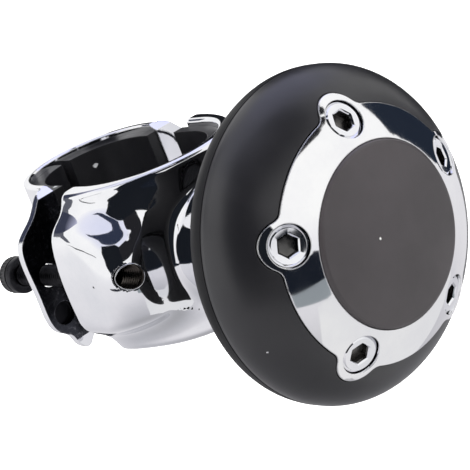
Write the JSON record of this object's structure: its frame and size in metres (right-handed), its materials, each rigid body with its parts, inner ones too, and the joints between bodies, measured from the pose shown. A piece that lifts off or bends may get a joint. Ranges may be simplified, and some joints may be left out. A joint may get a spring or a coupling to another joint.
{
  "type": "steering wheel spinner knob",
  "caption": "Spinner knob for a steering wheel: a domed black grip with a lobed chrome trim ring turns on bearings on the stem of a chromed two-part rim clamp.",
  "frame": {"origin": "on the axis of the clamp bore that holds the wheel rim, half way up the clamp band", "axes": "+Z along the clamp bore, -Y from the clamp to the face of the knob, +X to the side of the right clamp bolt"},
  "size_m": [0.072, 0.1085, 0.072],
  "materials": {
    "clamp_chrome": "polished chrome plating on a casting",
    "strap_chrome": "polished chrome plating on formed plate",
    "pad_rubber": "smooth black rubber",
    "bolt_black": "black oxide steel, slightly oily",
    "plain_steel": "bright zinc plated steel",
    "bearing_steel": "ground bearing steel",
    "brass": "machined brass",
    "nylon": "plain nylon",
    "hub_aluminium": "turned aluminium",
    "knob_plastic": "soft-touch matte black",
    "cover_plastic": "matte black",
    "cap_plastic": "fine matte black",
    "trim_chrome": "mirror-bright chrome plating",
    "tape_foam": "double-sided foam tape"
  },
  "bodies": {
    "clamp_body": {"clamp_front_casting": "clamp_chrome", "front_pad_right": "pad_rubber", "front_pad_left": "pad_rubber", "stem_bolt": "plain_steel", "stem_spacer": "plain_steel", "bearing_spacer": "plain_steel", "stem_washer": "plain_steel", "stem_lock_nut": "plain_steel", "lock_nut_insert": "nylon", "rear_bearing_inner_ring": "bearing_steel", "front_bearing_inner_ring": "bearing_steel", "rear_bearing_balls": "bearing_steel", "front_bearing_balls": "bearing_steel", "rear_bearing_cage": "brass", "front_bearing_cage": "brass"},
    "knob": {"knob_body": "knob_plastic", "knob_rear_cover": "cover_plastic", "trim_ring": "trim_chrome", "trim_screws": "trim_chrome", "threaded_inserts": "brass", "centre_cap": "cap_plastic", "cap_tape": "tape_foam", "bearing_hub": "hub_aluminium", "bearing_circlip": "bolt_black", "rear_bearing_outer_ring": "bearing_steel", "front_bearing_outer_ring": "bearing_steel", "rear_bearing_shields": "plain_steel", "front_bearing_shields": "plain_steel"},
    "strap": {"clamp_rear_strap": "strap_chrome", "rear_pad_right": "pad_rubber", "rear_pad_left": "pad_rubber"},
    "bolt_left": {"clamp_bolt_left": "bolt_black"},
    "bolt_right": {"clamp_bolt_right": "bolt_black"}
  },
  "joints": [
    {"name": "knob_spin", "type": "hinge", "parent": "clamp_body", "child": "knob", "pos_m": [0, -0.0532, -0.0013], "axis": [0, -1, 0], "continuous": true},
    {"name": "strap_close", "type": "slide", "parent": "clamp_body", "child": "strap", "axis": [0, -1, 0], "range_m": [0, 0.0085]},
    {"name": "bolt_left_drive", "type": "slide", "parent": "strap", "child": "bolt_left", "axis": [0, -1, 0], "range_m": [0, 0.0077]},
    {"name": "bolt_right_drive", "type": "slide", "parent": "strap", "child": "bolt_right", "axis": [0, -1, 0], "range_m": [0, 0.0077]}
  ]
}
